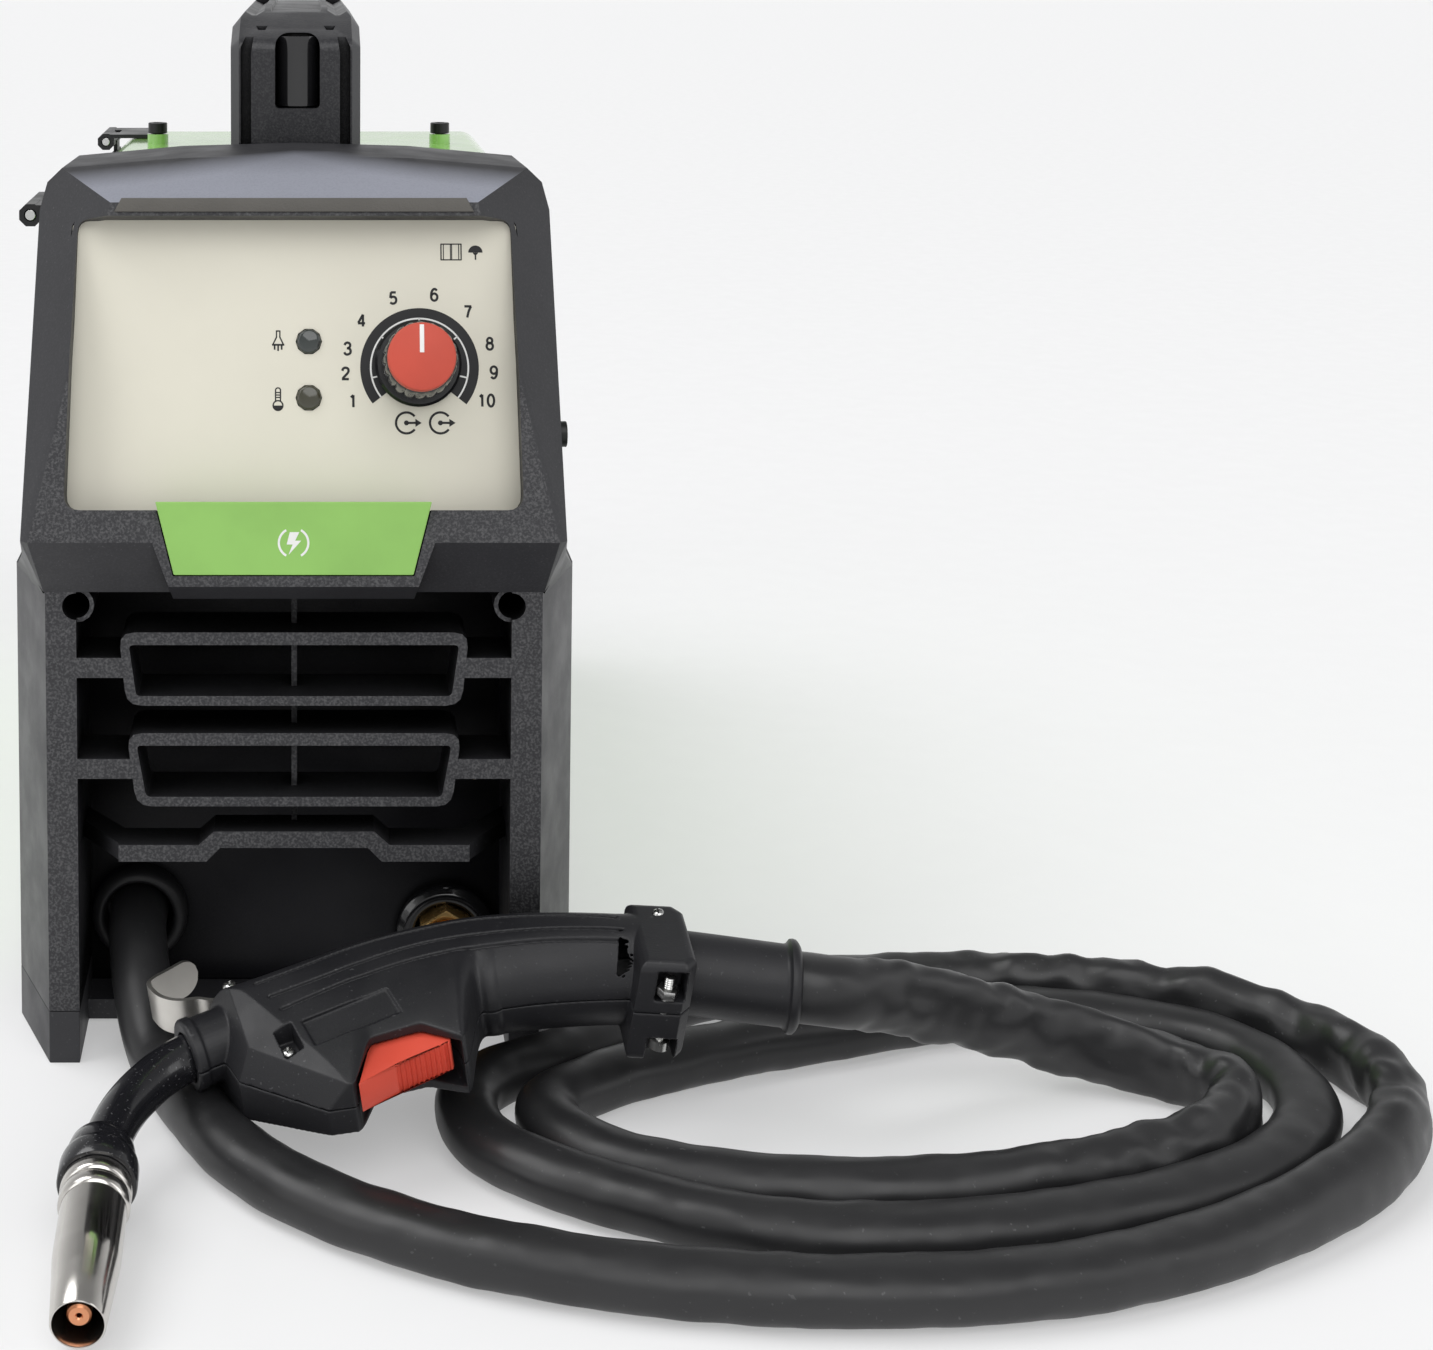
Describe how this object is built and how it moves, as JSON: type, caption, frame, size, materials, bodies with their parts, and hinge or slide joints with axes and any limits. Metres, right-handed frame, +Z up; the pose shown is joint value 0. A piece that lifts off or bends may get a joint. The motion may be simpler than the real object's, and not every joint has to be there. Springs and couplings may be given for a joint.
{
  "type": "mig welding machine",
  "caption": "Portable MIG welding machine with sloping control panel, wire feeder behind a hinged side door, carrying handle and a gas torch on a coiled cable.",
  "frame": {"origin": "on the floor, under the middle of the case, at the middle of the sole of the base tray's middle pad", "axes": "+X to the operator's right, +Y from the front of the case to its back, +Z up"},
  "size_m": [0.4472, 0.6366, 0.3439],
  "materials": {
    "textured_black": "spark-eroded texture",
    "gloss_black": "smooth moulded",
    "black_sheet": "satin black paint",
    "black_steel": "black oxide",
    "green_paint": "semi-gloss powder coat",
    "cream_panel": "printed film",
    "red_plastic": "satin",
    "lens": "translucent, unlit",
    "brass": "turned",
    "steel": "zinc plated",
    "nickel_plate": "nickel plated",
    "copper_wire": "copper coated wire",
    "copper_tip": "turned copper",
    "aluminium": "mill finish",
    "circuit_board": "solder mask",
    "ferrite": "sintered ferrite and varnished winding",
    "rubber": "soft satin"
  },
  "bodies": {
    "case": {"front_bezel": "textured_black", "badge_bar": "green_paint", "control_panel": "cream_panel", "led_power": "lens", "led_thermal": "lens", "dial_potentiometer": "steel", "control_board": "circuit_board", "base_tray": "textured_black", "front_plate": "black_sheet", "case_cover": "green_paint", "hinge_front_fixed_leaf": "black_sheet", "hinge_front_pin": "steel", "hinge_rear_fixed_leaf": "black_sheet", "hinge_rear_pin": "steel", "carry_handle": "gloss_black", "cover_screw_left": "black_steel", "cover_screw_right": "black_steel", "cover_screw_side": "black_steel", "torch_grommet": "rubber", "socket_flange": "gloss_black", "socket_insert": "brass", "bulkhead": "aluminium", "feeder_plate": "aluminium", "feed_motor": "steel", "spool_hub": "gloss_black", "power_board": "circuit_board", "heatsink": "aluminium", "transformer": "ferrite", "rear_panel": "black_sheet", "fan_frame": "gloss_black", "switch_body": "gloss_black", "mains_gland": "gloss_black", "mains_lead": "rubber", "mains_plug": "rubber", "torch_handle_upper": "textured_black", "torch_handle_lower": "textured_black", "trigger_switch": "gloss_black", "torch_clamp_bolt": "steel", "torch_hook": "steel", "swan_neck": "gloss_black", "nozzle_insulator": "gloss_black", "gas_nozzle": "nickel_plate", "contact_tip": "copper_tip", "cable_boot": "rubber", "torch_cable": "rubber"},
    "dial": {"dial_skirt": "gloss_black", "dial_cap": "red_plastic"},
    "door": {"side_door": "green_paint", "hinge_front_moving_leaf": "black_sheet", "hinge_rear_moving_leaf": "black_sheet"},
    "latch": {"door_latch": "gloss_black"},
    "rocker": {"power_switch": "red_plastic"},
    "fan": {"fan_rotor": "gloss_black"},
    "drive": {"drive_roller": "steel"},
    "arm": {"pressure_arm": "gloss_black"},
    "idler": {"idler_roller": "steel"},
    "tension": {"tension_knob": "gloss_black"},
    "spool": {"wire_spool": "copper_wire"},
    "nut": {"spool_nut": "gloss_black"},
    "trigger": {"torch_trigger": "red_plastic"}
  },
  "joints": [
    {"name": "dial_turn", "type": "hinge", "parent": "case", "child": "dial", "pos_m": [0.0403, -0.19973, 0.22885], "axis": [0, -0.9615, 0.2747], "range_deg": [-135, 135]},
    {"name": "door_open", "type": "hinge", "parent": "case", "child": "door", "pos_m": [-0.0942, 0, 0.269], "axis": [0, 1, 0], "range_deg": [0, 100]},
    {"name": "latch_turn", "type": "hinge", "parent": "door", "child": "latch", "pos_m": [-0.0895, 0.025, 0.027], "axis": [1, 0, 0], "range_deg": [0, 90]},
    {"name": "power_rock", "type": "hinge", "parent": "case", "child": "rocker", "pos_m": [-0.05, 0.194, 0.222], "axis": [0, 0, -1], "range_deg": [0, 12]},
    {"name": "fan_spin", "type": "hinge", "parent": "case", "child": "fan", "pos_m": [0.042, 0.183, 0.15], "axis": [0, 1, 0], "continuous": true},
    {"name": "drive_spin", "type": "hinge", "parent": "case", "child": "drive", "pos_m": [-0.0533, -0.105, 0.0214], "axis": [1, 0, 0], "continuous": true},
    {"name": "arm_lift", "type": "hinge", "parent": "case", "child": "arm", "pos_m": [-0.045, -0.085, 0.047], "axis": [-1, 0, 0], "range_deg": [0, 50]},
    {"name": "idler_spin", "type": "hinge", "parent": "arm", "child": "idler", "pos_m": [-0.0533, -0.105, 0.0434], "axis": [1, 0, 0], "continuous": true},
    {"name": "tension_turn", "type": "hinge", "parent": "arm", "child": "tension", "pos_m": [-0.0505, -0.124, 0.06], "axis": [0, 0, 1], "range_deg": [0, 360]},
    {"name": "spool_spin", "type": "hinge", "parent": "case", "child": "spool", "pos_m": [-0.0455, 0.069, 0.14], "axis": [1, 0, 0], "continuous": true},
    {"name": "nut_turn", "type": "hinge", "parent": "case", "child": "nut", "pos_m": [-0.078, 0.069, 0.14], "axis": [1, 0, 0], "continuous": true},
    {"name": "trigger_press", "type": "hinge", "parent": "case", "child": "trigger", "pos_m": [0.0263, -0.27392, 0.03348], "axis": [-0.1392, -0.1293, 0.9818], "range_deg": [0, 5]}
  ],
  "couplings": [
    {"joint": "idler_spin", "follows": "drive_spin", "ratio": -1.2632}
  ]
}
